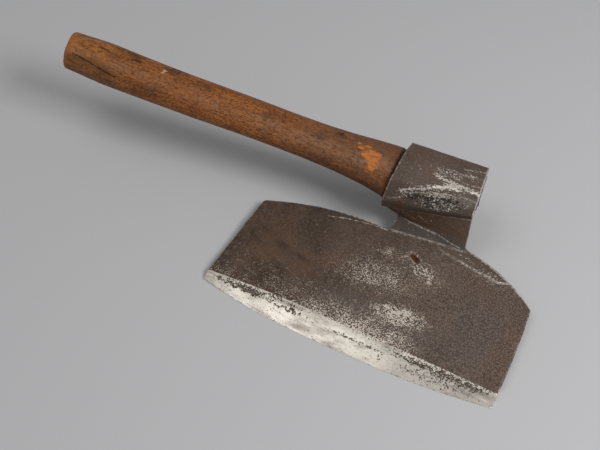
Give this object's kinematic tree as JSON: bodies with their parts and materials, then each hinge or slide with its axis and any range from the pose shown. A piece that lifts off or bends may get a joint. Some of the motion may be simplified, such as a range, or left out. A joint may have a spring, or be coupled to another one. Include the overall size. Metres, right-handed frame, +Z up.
{
  "type": "side axe",
  "caption": "Single-bevel side axe with a wide flat-backed blade, a raised tapering socket beside it and a short wooden handle that cants away from the blade.",
  "frame": {"origin": "on the blade's flat back, midway between the two tips of the cutting edge", "axes": "+X along the cutting edge from heel to toe, +Y from the edge towards the poll, +Z up from the flat back through the bevelled face. The handle runs towards -X"},
  "size_m": [0.4961, 0.2024, 0.1039],
  "materials": {
    "iron": "dark brown patina with fine pitting and bright wear",
    "steel": "ground bright, with small dark pits",
    "handle_wood": "old, oiled by hands, with dark grain streaks",
    "wedge_wood": "dry and dull",
    "wedge_iron": "rusty"
  },
  "bodies": {
    "root": {"blade_plate": "iron", "edge_steel": "steel", "eye_strap": "iron", "handle": "handle_wood", "wood_wedge": "wedge_wood", "iron_wedge": "wedge_iron"}
  },
  "joints": []
}
